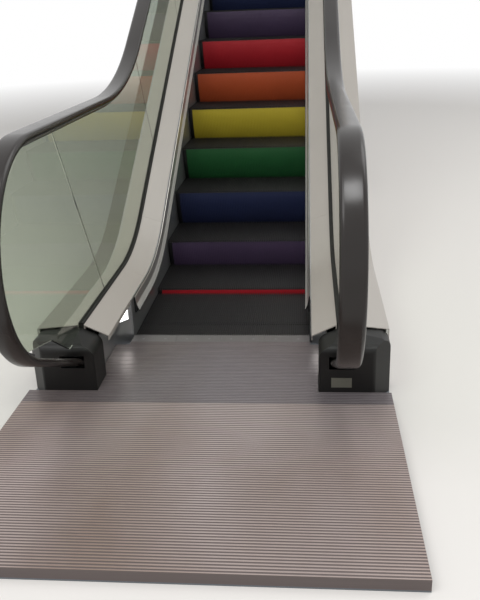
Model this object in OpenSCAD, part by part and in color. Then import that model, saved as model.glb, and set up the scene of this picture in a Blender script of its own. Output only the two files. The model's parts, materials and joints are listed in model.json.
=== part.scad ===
// Escalator with glass balustrades, between two floors.
// X runs across the machine, Y runs uphill, Z is up.
// The origin is the middle of the lower comb line, at ground level.

/* [Travel] */
// Height between the lower and the upper floor
rise = 3645; // [2400:5:6000]
// Slope of the step band in degrees
incline = 30; // [27:0.5:35]
// Radius of the step path at the lower bend
lower_bend_r = 1200; // [800:50:2000]
// Radius of the step path at the upper bend
upper_bend_r = 1500; // [1000:50:2500]
// Level run of the steps at each landing
level_run = 320; // [200:10:1600]
// Height of the lower floor finish over the ground plane
floor_h = 40; // [30:1:80]
// Drop of the treads below the floor plates
comb_fall = 10; // [6:1:14]

/* [Steps] */
// Width of a step
step_w = 800; // [600:10:1000]
// Distance between two steps along the band
step_pitch = 405; // [395:1:410]
// Distance of the first nosing from the lower comb
first_nosing = 165; // [10:5:400]
// Gap between two neighbouring steps
step_gap = 6; // [3:0.5:8]
// Thickness of a tread
tread_t = 28; // [20:1:34]
// Thickness of a riser
riser_t = 18; // [10:1:30]
// Gap between a step and the skirt at each side
skirt_gap = 3; // [2:0.5:4]
// Number of grooves across a tread
grooves = 80; // [60:4:110]
// Depth of the grooves
groove_depth = 10; // [8:1:14]
// Width of a cleat between two grooves
cleat_w = 3.5; // [2:0.5:5]
// Radius of a step roller
roller_r = 38; // [30:1:50]

/* [Skirts and decks] */
// Thickness of a skirt panel
skirt_t = 4; // [2:0.5:8]
// Height of a skirt over the step noses
skirt_h = 180; // [100:1:220]
// Depth of a skirt below the step noses
skirt_drop = 240; // [150:10:300]
// Height of the lower edge of a brush holder over the step noses
brush_h = 101; // [60:1:140]
// Reach of a brush over the steps
brush_reach = 22; // [10:1:30]
// Sheet thickness of the decks
deck_t = 3; // [2:0.5:6]
// Height of the glass foot over the step noses
deck_h = 227; // [150:1:260]
// Drop of the outer deck to its outer edge
deck_fall = 18; // [5:1:40]
// Overall width of the machine
body_w = 1416; // [1300:2:1700]

/* [Balustrades] */
// Distance between the two handrail centre lines
rail_gauge = 1040; // [1000:5:1120]
// Thickness of the glass
glass_t = 10; // [8:1:14]
// Width of a glass panel along the slope
panel_w = 1350; // [800:50:2000]
// Gap between two glass panels
panel_gap = 4; // [2:1:8]
// Width of a handrail
rail_w = 80; // [70:1:90]
// Thickness of a handrail
rail_t = 30; // [24:1:36]
// Height of the handrail over the landings
rail_h = 1035; // [900:5:1100]
// Radius of the handrail path at the bends
rail_bend_r = 1500; // [1200:50:2500]
// Reach of the handrail beyond the comb line
newel_reach = 1145; // [1000:5:1500]
// Radius of the handrail path round a newel
newel_r = 375; // [350:5:430]

/* [Landings] */
// Length of the floor plates from the comb line
plate_reach = 1535; // [1300:5:2200]
// Distance of the joint between landing plate and comb plate from the comb line
joint_reach = 630; // [560:5:900]
// Distance between two ridges of the floor plates
ridge_pitch = 12.5; // [8:0.5:20]
// Height of the ridges
ridge_h = 1.5; // [0.5:0.5:3]
// Length of a comb without its teeth
comb_len = 75; // [50:1:120]
// Length of the comb teeth
tooth_len = 34; // [20:1:60]
// Distance of an inlet housing from the comb line
inlet_reach = 536; // [500:2:700]
// Length of an inlet housing
inlet_len = 146; // [100:2:300]
// Height of an inlet housing
inlet_h = 183; // [150:1:240]

/* [Structure] */
// Depth of the truss below the step noses, square to the slope
truss_depth = 960; // [800:10:1100]
// Size of a truss chord
chord = 100; // [60:5:140]
// Size of a truss post or diagonal
brace = 60; // [40:5:80]
// Distance between two truss posts along the band
bay = 1050; // [800:50:1500]
// Thickness of a balustrade bracket
bracket_t = 8; // [5:1:12]
// Height of a step track
track_h = 60; // [40:5:100]
// Reach of the upper bearing beyond the floor plate
bearing_reach = 120; // [80:10:200]
// Thickness of the side cladding and the soffit
clad_t = 12; // [6:1:20]

/* [Hidden] */
$fn = 64;

// Step path: the line that every nosing follows, level, bent, sloping, bent and level again.
seat = 0.3;
joint = 0.8;
belt_gap = 0.8;
path_z0 = floor_h - comb_fall;
path_z1 = path_z0 + rise;
lower_tan = lower_bend_r * tan(incline / 2);
upper_tan = upper_bend_r * tan(incline / 2);
foot_y = level_run + lower_tan;
head_y = foot_y + rise / tan(incline);
comb_y = head_y + upper_tan + level_run;
slope_len = rise / sin(incline) - lower_tan - upper_tan;
lower_arc = lower_bend_r * incline * PI / 180;
upper_arc = upper_bend_r * incline * PI / 180;
path_len = 2 * level_run + lower_arc + slope_len + upper_arc;
s1 = level_run;
s2 = s1 + lower_arc;
s3 = s2 + slope_len;
s4 = s3 + upper_arc;
deg = 180 / PI;

// Point [y, z] of the step path at the distance s from the lower comb
function path_at(s) =
    s < s1 ? [s, path_z0] :
    s < s2 ? let (a = (s - s1) / lower_bend_r * deg)
        [level_run + lower_bend_r * sin(a), path_z0 + lower_bend_r * (1 - cos(a))] :
    s < s3 ? let (a = incline, t = s - s2)
        [level_run + lower_bend_r * sin(a) + t * cos(a),
         path_z0 + lower_bend_r * (1 - cos(a)) + t * sin(a)] :
    s < s4 ? let (a = (s4 - s) / upper_bend_r * deg)
        [comb_y - level_run - upper_bend_r * sin(a), path_z1 - upper_bend_r * (1 - cos(a))] :
    [comb_y - level_run + s - s4, path_z1];

// Slope of the step path at the distance s
function slope_at(s) =
    s < s1 ? 0 : s < s2 ? (s - s1) / lower_bend_r * deg : s < s3 ? incline :
    s < s4 ? (s4 - s) / upper_bend_r * deg : 0;

// Points of an arc round c from angle a to angle b
function arc(c, r, a, b, n = 12) =
    [for (i = [0:n]) let (t = a + (b - a) * i / n) [c[0] + r * cos(t), c[1] + r * sin(t)]];

lower_c = [level_run, path_z0 + lower_bend_r];
upper_c = [comb_y - level_run, path_z1 - upper_bend_r];

// Side view of the step path, moved off it by h square to it, between y0 and y1
function path_line(h, y0, y1) = concat(
    [[y0, path_z0 + h]],
    arc(lower_c, lower_bend_r - h, -90, -90 + incline),
    arc(upper_c, upper_bend_r + h, 90 + incline, 90),
    [[y1, path_z1 + h]]);

// Stands a side view [y, z] upright; its extrusion runs along +X
module side() { rotate([90, 0, 90]) children(); }

// Carries a cross-section [x, h] straight from p along the angle a, short of the joint at each end
module run(p, a, len)
    translate([0, p[0], p[1]]) rotate([a + 90, 0, 0]) translate([0, 0, joint - len])
        linear_extrude(len - 2 * joint) children();

// Carries a cross-section [x, h] along the step path between y0 and y1, in butt-jointed lengths
module along_path(y0, y1) {
    foot = path_at(s2);
    run([y0, path_z0], 0, level_run - y0) children();
    translate([0, lower_c[0], lower_c[1]]) side() rotate([0, 0, -90])
        rotate_extrude(angle = incline, $fn = 180) translate([lower_bend_r, 0]) rotate(90) children();
    run(foot, incline, slope_len) children();
    translate([0, upper_c[0], upper_c[1]]) side() rotate([0, 0, 90])
        rotate_extrude(angle = incline, $fn = 180) translate([upper_bend_r, 0]) mirror([1, -1]) children();
    run([upper_c[0], path_z1], 0, y1 - upper_c[0]) children();
}

// Places what is drawn at the origin on the step path, square to it
module at_path(s) {
    p = path_at(s);
    translate([0, p[0], p[1]]) rotate([slope_at(s), 0, 0]) children();
}

// Turns a lower-landing piece into the same piece at the upper landing
module at_upper() { translate([0, comb_y, rise]) mirror([0, 1, 0]) children(); }

// Keeps what lies above z
module above(z) {
    intersection() {
        children();
        translate([-body_w, -2 * plate_reach, z])
            cube([2 * body_w, comb_y + 4 * plate_reach, rise + 2000]);
    }
}

// Cross-section rectangle between two corners
module rect(x0, h0, x1, h1) { translate([x0, h0]) square([x1 - x0, h1 - h0]); }

pan_t = 5;
half = step_w / 2 + skirt_gap;
skirt_x = half + skirt_t;
rail_x = rail_gauge / 2;
clamp_w = glass_t + 20;
clamp_x0 = rail_x - clamp_w / 2;
clamp_x1 = rail_x + clamp_w / 2;
side_x = body_w / 2;
clamp_h = 34;
deck_y0 = -inlet_reach + inlet_len;
deck_y1 = comb_y - deck_y0;

/* Ground and landings */

plate_t = 8;
joist_w = 40;
joist_h = floor_h - plate_t - pan_t;
pan_end = foot_y + (truss_depth / cos(incline) - path_z0) / tan(incline);
inlet_x = skirt_x + 27;
recess_x = skirt_x + 58;
legs = [joint_reach - joist_w / 2, 280];

module base_pan() color("dimgray") {
    translate([-side_x, -plate_reach, 0]) cube([body_w, plate_reach + pan_end, pan_t]);
}

// Side view of a floor plate from y0 to y1 with ridges across the way
module ridged_side(y0, y1) {
    count = floor((y1 - y0) / ridge_pitch);
    start = (y0 + y1 - count * ridge_pitch) / 2;
    low = floor_h - ridge_h;
    polygon(concat([[y0, floor_h - plate_t], [y0, floor_h]],
        [for (i = [0:count - 1]) let (y = start + i * ridge_pitch, q = ridge_pitch / 4, d = ridge_h / 4)
            each [[y + q - d, floor_h], [y + q + d, low], [y + 3 * q - d, low], [y + 3 * q + d, floor_h]]],
        [[y1, floor_h], [y1, floor_h - plate_t]]));
}

module landing_plate() {
    back = -joint_reach - 2;
    translate([-side_x, 0, 0]) side() linear_extrude(body_w) ridged_side(-plate_reach, back);
    for (y = [-plate_reach, (back - plate_reach - joist_w) / 2, back - joist_w])
        translate([-side_x, y, pan_t]) cube([body_w, joist_w, joist_h]);
}

module landing_plate_lower() color("silver") landing_plate();
module landing_plate_upper() color("silver") at_upper() landing_plate();

// Plate from the landing plate to the combs, cut round the inlets; its legs reach down by leg
module comb_plate(leg) {
    narrow = half - 1;
    front = -joint_reach;
    back = -comb_len - seat;
    edge = [[side_x, front - 1], [side_x, -inlet_reach - 2], [inlet_x - 2, -inlet_reach - 2],
        [inlet_x - 2, deck_y0], [recess_x - 2, deck_y0], [recess_x - 2, -105], [narrow, -105], [narrow, 0]];
    intersection() {
        translate([-side_x, 0, 0]) side() linear_extrude(body_w) ridged_side(front, back);
        linear_extrude(2 * floor_h)
            polygon(concat(edge, [for (i = [len(edge) - 1:-1:0]) [-edge[i][0], edge[i][1]]]));
    }
    for (y = legs) translate([-narrow, -y - joist_w / 2, floor_h - plate_t - leg]) cube([2 * narrow, joist_w, leg]);
}

module comb_plate_lower() color("gainsboro") comb_plate(joist_h);
module comb_plate_upper() color("gainsboro") at_upper() comb_plate(floor_h - plate_t - path_z0 - landing_beam_h);

// Side view of a comb, which falls from the floor level into the grooves of the treads
groove_pitch = step_w / grooves;
comb_root = 6;
tip_z = path_z0 - groove_depth / 2;

module comb_side() polygon([[-comb_len, floor_h - plate_t], [-comb_root, floor_h - plate_t], [0, tip_z],
    [tooth_len, tip_z], [tooth_len, tip_z + 2], [tooth_len / 3, floor_h - 4], [-comb_root, floor_h],
    [-comb_len, floor_h]]);

// Plan of a comb with n teeth between x0 and x1, each tooth over the middle of a groove
module comb_plan(x0, x1, n) polygon(concat([[x0, -comb_len - 1], [x0, -comb_root]],
    [for (i = [0:n - 1]) let (x = (x0 + x1) / 2 + (i + 0.5 - n / 2) * groove_pitch)
        each [[x - 1.6, -comb_root], [x - 1.3, tooth_len + 1], [x + 1.3, tooth_len + 1], [x + 1.6, -comb_root]]],
    [[x1, -comb_root], [x1, -comb_len - 1]]));

module combs() {
    n = grooves / 4;
    for (i = [0:3]) {
        x0 = -step_w / 2 + i * n * groove_pitch + 0.5;
        x1 = x0 + n * groove_pitch - 1;
        intersection() {
            translate([x0, 0, 0]) side() linear_extrude(x1 - x0) comb_side();
            linear_extrude(2 * floor_h) comb_plan(x0, x1, n);
        }
    }
}

module combs_lower() color("silver") combs();
module combs_upper() color("silver") at_upper() combs();

/* Steps */

first_k = -1;
last_k = floor((path_len - first_nosing) / step_pitch);
tread_len = step_pitch - step_gap;
foot_drop = step_pitch * sin(incline) + 20;
roller_y = 110;
roller_drop = foot_drop - 18;
riser_a = asin(min(1, foot_drop / step_pitch));
tread_core = groove_depth + 2;

// Side view of a step without its cleats, nosing at the origin, tread towards +Y
module step_side() {
    r = step_pitch;
    polygon(concat(
        arc([r, 0], r, 180 + asin(tread_core / r), 180 + riser_a, 10),
        arc([r, 0], r - riser_t, 180 + riser_a, 180 + asin(tread_t / (r - riser_t)), 10),
        [[tread_len, -tread_t], [tread_len, -tread_core]]));
}

// Side plate of a step with its roller
module step_bracket() {
    polygon(concat(
        arc([step_pitch, 0], step_pitch - 2, 180 + 2, 180 + riser_a, 6),
        [[tread_len - 60, -tread_t + 2]]));
    translate([roller_y, -roller_drop]) circle(roller_r);
}

// Cross-section of the cleated top of a tread
module cleat_section() polygon(concat([[-step_w / 2, -tread_core - 2], [-step_w / 2, 0]],
    [for (i = [0:grooves - 1]) let (x = -step_w / 2 + i * groove_pitch, w = cleat_w / 2, d = 0.25)
        each [[x + w - d, 0], [x + w + d, -groove_depth],
            [x + groove_pitch - w - d, -groove_depth], [x + groove_pitch - w + d, 0]]],
    [[step_w / 2, 0], [step_w / 2, -tread_core - 2]]));

module step_core() {
    translate([-step_w / 2, 0, 0]) side() linear_extrude(step_w) step_side();
    for (x = [-step_w / 2 + 60, step_w / 2 - 60 - 20])
        translate([x, 0, 0]) side() linear_extrude(20) step_bracket();
}

// A step that would reach into the base pan is cut off above it
module one_step(k) {
    p = path_at(first_nosing + k * step_pitch);
    floor_z = pan_t + seat;
    translate([0, p[0], p[1]]) {
        if (p[1] - roller_drop - roller_r < floor_z) intersection() {
            step_core();
            translate([-step_w, -step_pitch, floor_z - p[1]]) cube([2 * step_w, 3 * step_pitch, 2 * step_pitch]);
        }
        else step_core();
        translate([0, tread_len, 0]) rotate([90, 0, 0]) linear_extrude(tread_len) cleat_section();
    }
}

module steps_of(c) { for (k = [first_k:last_k]) if ((k + 6) % 6 == c) one_step(k); }

module steps_red() color("firebrick") steps_of(1);
module steps_violet() color("indigo") steps_of(2);
module steps_blue() color("midnightblue") steps_of(3);
module steps_green() color("darkgreen") steps_of(4);
module steps_yellow() color("goldenrod") steps_of(5);
module steps_orange() color("darkorange") steps_of(0);

/* Skirts, brushes and decks */

// Curved end of a skirt, which opens the way towards the inlet
bow_r = 110;
bow_c = [recess_x - bow_r, -100];

module skirt_end() translate([0, 0, pan_t]) linear_extrude(path_z0 + skirt_h - 22 - pan_t) polygon(concat(
    [[half, 0.5]], arc(bow_c, bow_r, 62, 0),
    [[recess_x, deck_y0 + 2], [recess_x + skirt_t, deck_y0 + 2]],
    arc(bow_c, bow_r + skirt_t, 0, 58), [[skirt_x, 0.5]]));

module skirt() {
    above(pan_t) along_path(0, comb_y) rect(half, -skirt_drop, skirt_x, skirt_h);
    skirt_end();
    at_upper() skirt_end();
}

module skirt_right() color("lightgray") skirt();
module skirt_left() color("lightgray") mirror([1, 0, 0]) skirt();

// Black holder on the skirt with a row of bristles that points down over the steps
module brush() along_path(50, comb_y - 50)
    polygon([[half - seat, brush_h], [half - seat, skirt_h - 4], [half - 5, skirt_h - 6],
        [half - 12, brush_h + 34], [half - brush_reach, brush_h + 10], [half - brush_reach, brush_h + 6],
        [half - 13, brush_h + 16], [half - 9, brush_h]]);

module brush_right() color("black") brush();
module brush_left() color("black") mirror([1, 0, 0]) brush();

module inner_deck() along_path(deck_y0, deck_y1)
    polygon([[skirt_x + seat, skirt_h - 20], [skirt_x + seat, skirt_h], [clamp_x0 - seat, deck_h],
        [clamp_x0 - seat, deck_h - 20], [clamp_x0 - seat - deck_t, deck_h - 20],
        [clamp_x0 - seat - deck_t, deck_h - 2 * deck_t], [skirt_x + seat + deck_t, skirt_h - deck_t],
        [skirt_x + seat + deck_t, skirt_h - 20]]);

module inner_deck_right() color("linen") inner_deck();
module inner_deck_left() color("linen") mirror([1, 0, 0]) inner_deck();

module outer_deck() along_path(deck_y0, deck_y1)
    polygon([[clamp_x1 + seat, deck_h - 20], [clamp_x1 + seat, deck_h], [side_x, deck_h - deck_fall],
        [side_x, deck_h - deck_fall - 40], [side_x - deck_t, deck_h - deck_fall - 40],
        [side_x - deck_t, deck_h - deck_fall - deck_t], [clamp_x1 + seat + deck_t, deck_h - deck_t],
        [clamp_x1 + seat + deck_t, deck_h - 20]]);

module outer_deck_right() color("linen") outer_deck();
module outer_deck_left() color("linen") mirror([1, 0, 0]) outer_deck();

/* Handrail path */

rail_z = rail_h - rail_t / 2;
newel_c = [-newel_reach + newel_r + rail_t / 2, floor_h + rail_z - newel_r];
inlet_slope = 26;
return_h = 55;
return_r = 400;
rail_tan = rail_bend_r * tan(incline / 2);
rail_foot_y = foot_y + 10;
rail_head_y = head_y - 10;
rail_z0 = floor_h + rail_z;
rail_z1 = rail_z0 + rise;
rail_slope = atan((rail_z1 - rail_z0) / (rail_head_y - rail_foot_y));
rail_low_tan = rail_bend_r * tan(rail_slope / 2);
newel_end = [newel_c[0] - newel_r * sin(inlet_slope), newel_c[1] - newel_r * cos(inlet_slope)];
ramp_drop = newel_end[1] - path_z0 - return_h - return_r * (1 - cos(inlet_slope));
ramp_len = ramp_drop / sin(inlet_slope);
ramp_end = [newel_end[0] + ramp_len * cos(inlet_slope), newel_end[1] - ramp_len * sin(inlet_slope)];
level_y = ramp_end[0] + return_r * sin(inlet_slope);

// Carries a section [x, h], h away from the loop, along the sloping top of the handrail loop
module along_rail_top() {
    low_end = [low_c[0] + rail_bend_r * sin(rail_slope), low_c[1] - rail_bend_r * cos(rail_slope)];
    top_len = norm([rail_head_y - rail_foot_y, rise]) - 2 * rail_low_tan;
    run([newel_c[0], rail_z0], 0, low_c[0] - newel_c[0]) children();
    translate([0, low_c[0], low_c[1]]) side() rotate([0, 0, -90])
        rotate_extrude(angle = rail_slope, $fn = 180) translate([rail_bend_r, 0]) rotate(90) children();
    run(low_end, rail_slope, top_len) children();
    translate([0, high_c[0], high_c[1]]) side() rotate([0, 0, 90])
        rotate_extrude(angle = rail_slope, $fn = 180) translate([rail_bend_r, 0]) mirror([1, -1]) children();
    run([high_c[0], rail_z1], 0, comb_y - newel_c[0] - high_c[0]) children();
}

// Carries the section round one newel, from the top run to the start of the inlet ramp
module round_newel() {
    translate([0, newel_c[0], newel_c[1]]) side() rotate([0, 0, 90])
        rotate_extrude(angle = 180 - inlet_slope, $fn = 180)
            translate([newel_r, 0]) mirror([1, -1]) children();
}

// Rings [y, z, ny, nz] of the belt on an arc round c; k is 1 where it faces away from c
function rings(c, r, a, b, n, k) = [for (i = [0:n]) let (t = a + (b - a) * i / n)
    [c[0] + r * cos(t), c[1] + r * sin(t), k * cos(t), k * sin(t)]];

// The same rings at the upper landing, in the opposite order
function flip(list) = [for (i = [len(list) - 1:-1:0])
    [comb_y - list[i][0], list[i][1] + rise, -list[i][2], list[i][3]]];

low_c = [rail_foot_y - rail_low_tan, rail_z0 + rail_bend_r];
high_c = [rail_head_y + rail_low_tan, rail_z1 - rail_bend_r];
level_c = [level_y, path_z0 + return_h + return_r];
newel_rings = concat(
    rings(newel_c, newel_r, 90, 270 - inlet_slope, 22, 1),
    rings(level_c, return_r, -90 - inlet_slope, -90, 4, 1));
belt_rings = concat(
    newel_rings,
    rings(lower_c, lower_bend_r - return_h, -90, incline - 90, 6, 1),
    rings(upper_c, upper_bend_r + return_h, 90 + incline, 90, 6, -1),
    flip(newel_rings),
    rings(high_c, rail_bend_r, 90, 90 + rail_slope, 6, 1),
    rings(low_c, rail_bend_r, rail_slope - 90, -90, 6, -1));

// Cross-section of the belt: [x, h], h away from the loop
belt_r = rail_t / 2;
belt_wall = 8;
belt_lip = 14;
belt_section = let (x = rail_w / 2, r = belt_r, w = belt_wall, l = belt_lip) concat(
    arc([x - r, 0], r, -90, 90, 3),
    arc([r - x, 0], r, 90, 270, 3),
    [[r - x + l, -r], [r - x + l, w - r], [w - x, w - r], [w - x, r - w],
     [x - w, r - w], [x - w, w - r], [x - r - l, w - r], [x - r - l, -r]]);

module handrail() {
    n = len(belt_section);
    m = len(belt_rings);
    points = [for (b = belt_rings) for (q = belt_section)
        [rail_x + q[0], b[0] + q[1] * b[2], b[1] + q[1] * b[3]]];
    faces = [for (i = [0:m - 1]) for (j = [0:n - 1])
        let (i2 = (i + 1) % m, j2 = (j + 1) % n)
        each [[i * n + j, i * n + j2, i2 * n + j2], [i * n + j, i2 * n + j2, i2 * n + j]]];
    polyhedron(points, faces);
}

module handrail_right() color("black") handrail();
module handrail_left() color("black") mirror([1, 0, 0]) handrail();

module guide_section() translate([rail_x, 0]) {
    r = rail_t / 2;
    inner = rail_w / 2 - belt_wall - belt_gap;
    stem = rail_w / 2 - r - belt_lip - belt_gap;
    rect(-inner, belt_wall - r + belt_gap, inner, r - belt_wall - belt_gap);
    rect(-stem, -r - 14, stem, belt_wall - r + belt_gap + 1);
}

module handrail_guide() {
    along_rail_top() guide_section();
    round_newel() guide_section();
    at_upper() round_newel() guide_section();
}

module handrail_guide_right() color("dimgray") handrail_guide();
module handrail_guide_left() color("dimgray") mirror([1, 0, 0]) handrail_guide();

/* Glass */

glass_in = rail_t / 2 + 14 + seat;
clamp_floor = deck_h - clamp_h + 6;

// Side view of the whole balustrade glass; its lower edge runs above the belt to the inlet
nose_a = 236;
heel = [-inlet_reach - 188, floor_h + 301];
toe = [-inlet_reach - 20, floor_h + inlet_h + 4];

module glass_side() {
    r = newel_r - glass_in;
    front = [[deck_y0, toe[1]], toe, heel];
    bottom = path_line(clamp_floor + seat, deck_y0, deck_y1);
    polygon(concat(
        front,
        arc(newel_c, r, nose_a, 90, 24),
        arc(low_c, rail_bend_r + glass_in, -90, -90 + rail_slope),
        arc(high_c, rail_bend_r - glass_in, 90 + rail_slope, 90),
        [for (q = concat(arc(newel_c, r, 90, nose_a, 24), [heel, toe, [deck_y0, toe[1]]]))
            [comb_y - q[0], q[1] + rise]],
        [for (i = [len(bottom) - 1:-1:0]) bottom[i]]));
}

module glass_pane() {
    count = max(1, round((slope_len + 900) / panel_w));
    mid = path_at((s2 + s3) / 2);
    difference() {
        glass_side();
        for (i = [0:count])
            translate(mid) rotate(incline) translate([(i - count / 2) * panel_w - panel_gap / 2, -1000])
                square([panel_gap, 3000]);
    }
}

module glass_right() color([0.75, 0.85, 0.8, 0.6]) translate([rail_x - glass_t / 2, 0, 0])
    side() linear_extrude(glass_t) glass_pane();
module glass_left() color([0.75, 0.85, 0.8, 0.6]) mirror([1, 0, 0]) translate([rail_x - glass_t / 2, 0, 0])
    side() linear_extrude(glass_t) glass_pane();

module glass_clamp() along_path(deck_y0, deck_y1) difference() {
    rect(clamp_x0, deck_h - clamp_h, clamp_x1, deck_h + 8);
    rect(rail_x - glass_t / 2 - seat, clamp_floor, rail_x + glass_t / 2 + seat, deck_h + 20);
}

module glass_clamp_right() color("black") glass_clamp();
module glass_clamp_left() color("black") mirror([1, 0, 0]) glass_clamp();

/* Handrail inlets and comb lights */

inlet_wall = 5;
ramp_z = newel_end[1] - (-inlet_reach - newel_end[0]) * tan(inlet_slope);

// Outer form of an inlet moved inwards by s: its plan, front view and side view, cut with each other
module inlet_form(s) intersection() {
    x0 = inlet_x + s;
    x1 = side_x - s;
    y0 = -inlet_reach + s;
    top = floor_h + inlet_h - s;
    rise_top = 24;
    linear_extrude(2 * top) polygon(concat(
        arc([x0 + 12, y0 + 12], 12, 180, 270, 4),
        arc([x1 - 74, y0 + 20], 20, 270, 315, 4), [[x1, deck_y0 - 66], [x1, deck_y0 - seat], [x0, deck_y0 - seat]]));
    rotate([90, 0, 0]) translate([0, 0, -2 * inlet_reach]) linear_extrude(4 * inlet_reach) polygon(concat(
        [[x1, pan_t]], arc([x1 - 45, top - 30], 45, 0, 75, 6),
        [[rail_x, top + rise_top]], arc([x0 + 45, top - 45], 45, 120, 180, 6), [[x0, pan_t]]));
    side() linear_extrude(2 * side_x) polygon(concat(
        [[y0, pan_t]], arc([y0 + 30, top - 22], 30, 180, 105, 6),
        [[deck_y0, top + rise_top + 4], [deck_y0, pan_t]]));
}

module inlet() difference() {
    inlet_form(0);
    translate([0, 0, -1]) inlet_form(inlet_wall);
    translate([rail_x - rail_w / 2 - 8, -inlet_reach, ramp_z]) rotate([-inlet_slope, 0, 0])
        translate([0, -60, -rail_t / 2 - 8]) cube([rail_w + 16, 120, rail_t + 16]);
}

module inlet_lower_right() color("black") inlet();
module inlet_lower_left() color("black") mirror([1, 0, 0]) inlet();
module inlet_upper_right() color("black") at_upper() inlet();
module inlet_upper_left() color("black") at_upper() mirror([1, 0, 0]) inlet();

// Lamp on the curved end of a skirt, which shines across the comb
module comb_light() translate([0, 0, floor_h + 85]) linear_extrude(70) polygon(concat(
    arc(bow_c, bow_r - seat, 52, 22, 8), arc(bow_c, bow_r - 5, 22, 52, 8)));

module comb_lights() color("white") {
    comb_light();
    mirror([1, 0, 0]) comb_light();
    at_upper() comb_light();
    at_upper() mirror([1, 0, 0]) comb_light();
}

/* Structure */

end_y = comb_y + plate_reach;
bottom_h = -truss_depth;

// Side view of the space between two offsets from the step path
module band(h0, h1, y0, y1) {
    low = path_line(h0, y0, y1);
    high = path_line(h1, y0, y1);
    polygon(concat(low, [for (i = [len(high) - 1:-1:0]) high[i]]));
}

// Side sheets, cut into panels by open joints square to the path
module cladding() above(pan_t) difference() {
    translate([side_x - clad_t, 0, 0]) side() linear_extrude(clad_t - deck_t - seat) {
        band(bottom_h, deck_h - deck_fall - deck_t - seat, deck_y0, deck_y1);
        band(bottom_h, top_h, deck_y1 - 1, end_y);
    }
    for (i = [1:5]) at_path(path_len * i / 6)
        translate([side_x - 2 * clad_t, -3, bottom_h - chord]) cube([3 * clad_t, 6, truss_depth + deck_h + 2 * chord]);
}

module cladding_right() color("gainsboro") cladding();
module cladding_left() color("gainsboro") mirror([1, 0, 0]) cladding();

module soffit() color("gainsboro") above(pan_t) translate([-side_x + clad_t + seat, 0, 0]) side()
    linear_extrude(body_w - 2 * clad_t - 2 * seat)
        band(bottom_h, bottom_h + clad_t, deck_y0, end_y);

truss_x = side_x - clad_t - seat - chord;
top_h = pan_t - path_z0;
low_h = bottom_h + clad_t + seat;
bays = round(path_len / bay);

// Straight member of width w between two points of the side view
module bar(p, q, w) {
    d = q - p;
    translate(p) rotate(atan2(d[1], d[0])) translate([0, -w / 2]) square([norm(d), w]);
}

// Point of the side view at the distance s along the path and h square to it
function off_path(s, h) = path_at(s) + h * [-sin(slope_at(s)), cos(slope_at(s))];

module truss_side() {
    upper_node = top_h - chord / 2;
    lower_node = low_h + chord / 2;
    band(top_h - chord, top_h, deck_y0, end_y);
    band(low_h, low_h + chord, deck_y0, end_y);
    for (i = [0:bays]) {
        s = path_len * i / bays;
        next = path_len * (i + 1) / bays;
        bar(off_path(s, upper_node), off_path(s, lower_node), brace);
        if (i < bays) bar(off_path(s, upper_node), off_path(next, lower_node), brace);
    }
    for (y = concat([for (l = legs) comb_y + l], [end_y - brace]))
        bar([y, path_z1 + upper_node], [y, path_z1 + lower_node], brace);
    bar([comb_y + legs[0], path_z1 + lower_node], [end_y - brace, path_z1 + upper_node], brace);
}

module truss() above(pan_t) translate([truss_x, 0, 0]) side() linear_extrude(chord) truss_side();
module truss_right() color("slategray") truss();
module truss_left() color("slategray") mirror([1, 0, 0]) truss();

// Beams under the step tracks, and two more under the legs of the upper comb plate
track_foot = -roller_r - track_h - 2 * seat;
landing_beam_h = track_foot - roller_drop;

module truss_crossbeams() color("slategray") {
    for (i = [0:bays]) {
        s = path_len * i / bays;
        t = s - roller_y * cos(slope_at(s)) + roller_drop * sin(slope_at(s));
        if (off_path(t, track_foot - brace)[1] - roller_drop - brace / 2 > pan_t)
            translate([0, roller_y, -roller_drop]) at_path(t)
                translate([-truss_x, -brace / 2, track_foot - brace]) cube([2 * truss_x, brace, brace]);
    }
    for (l = legs) translate([-truss_x, comb_y + l - brace / 2, path_z1 + landing_beam_h - brace])
        cube([2 * truss_x, brace, brace]);
}

// Rails that the step rollers run on
module step_tracks() color("gray") above(pan_t) for (x = [-step_w / 2 + 50, step_w / 2 - 50 - 40])
    translate([0, roller_y, -roller_drop]) along_path(0, comb_y)
        rect(x, -roller_r - seat - track_h, x + 40, -roller_r - seat);

// Upright plate between skirt and cladding that carries the decks and the glass clamp
module bracket() rotate([90, 0, 0]) translate([0, 0, -bracket_t / 2]) linear_extrude(bracket_t) difference() {
    polygon([[skirt_x + seat, top_h + seat], [skirt_x + seat, skirt_h - 22], [skirt_x + 5, skirt_h - 22],
        [skirt_x + 5, skirt_h - 8], [clamp_x0 - 5, deck_h - clamp_h - seat],
        [side_x - clad_t - seat, deck_h - clamp_h - seat], [side_x - clad_t - seat, top_h + seat]]);
    rect(rail_x - rail_w / 2 - 12, return_h - rail_t / 2 - 12, rail_x + rail_w / 2 + 12, return_h + rail_t / 2 + 12);
}

module brackets() for (i = [0:bays]) at_path(path_len * i / bays) bracket();

module brackets_right() color("slategray") brackets();
module brackets_left() color("slategray") mirror([1, 0, 0]) brackets();

// End plate of the truss with the angle that rests on the upper floor
module upper_bearing() color("slategray") {
    plate_w = body_w - 2 * clad_t - 2 * seat;
    drop = 100;
    translate([-plate_w / 2, end_y, path_z1 + bottom_h]) cube([plate_w, 12, truss_depth - drop]);
    translate([-plate_w / 2, end_y, path_z1 - drop - 12]) cube([plate_w, bearing_reach, 12]);
}

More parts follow.
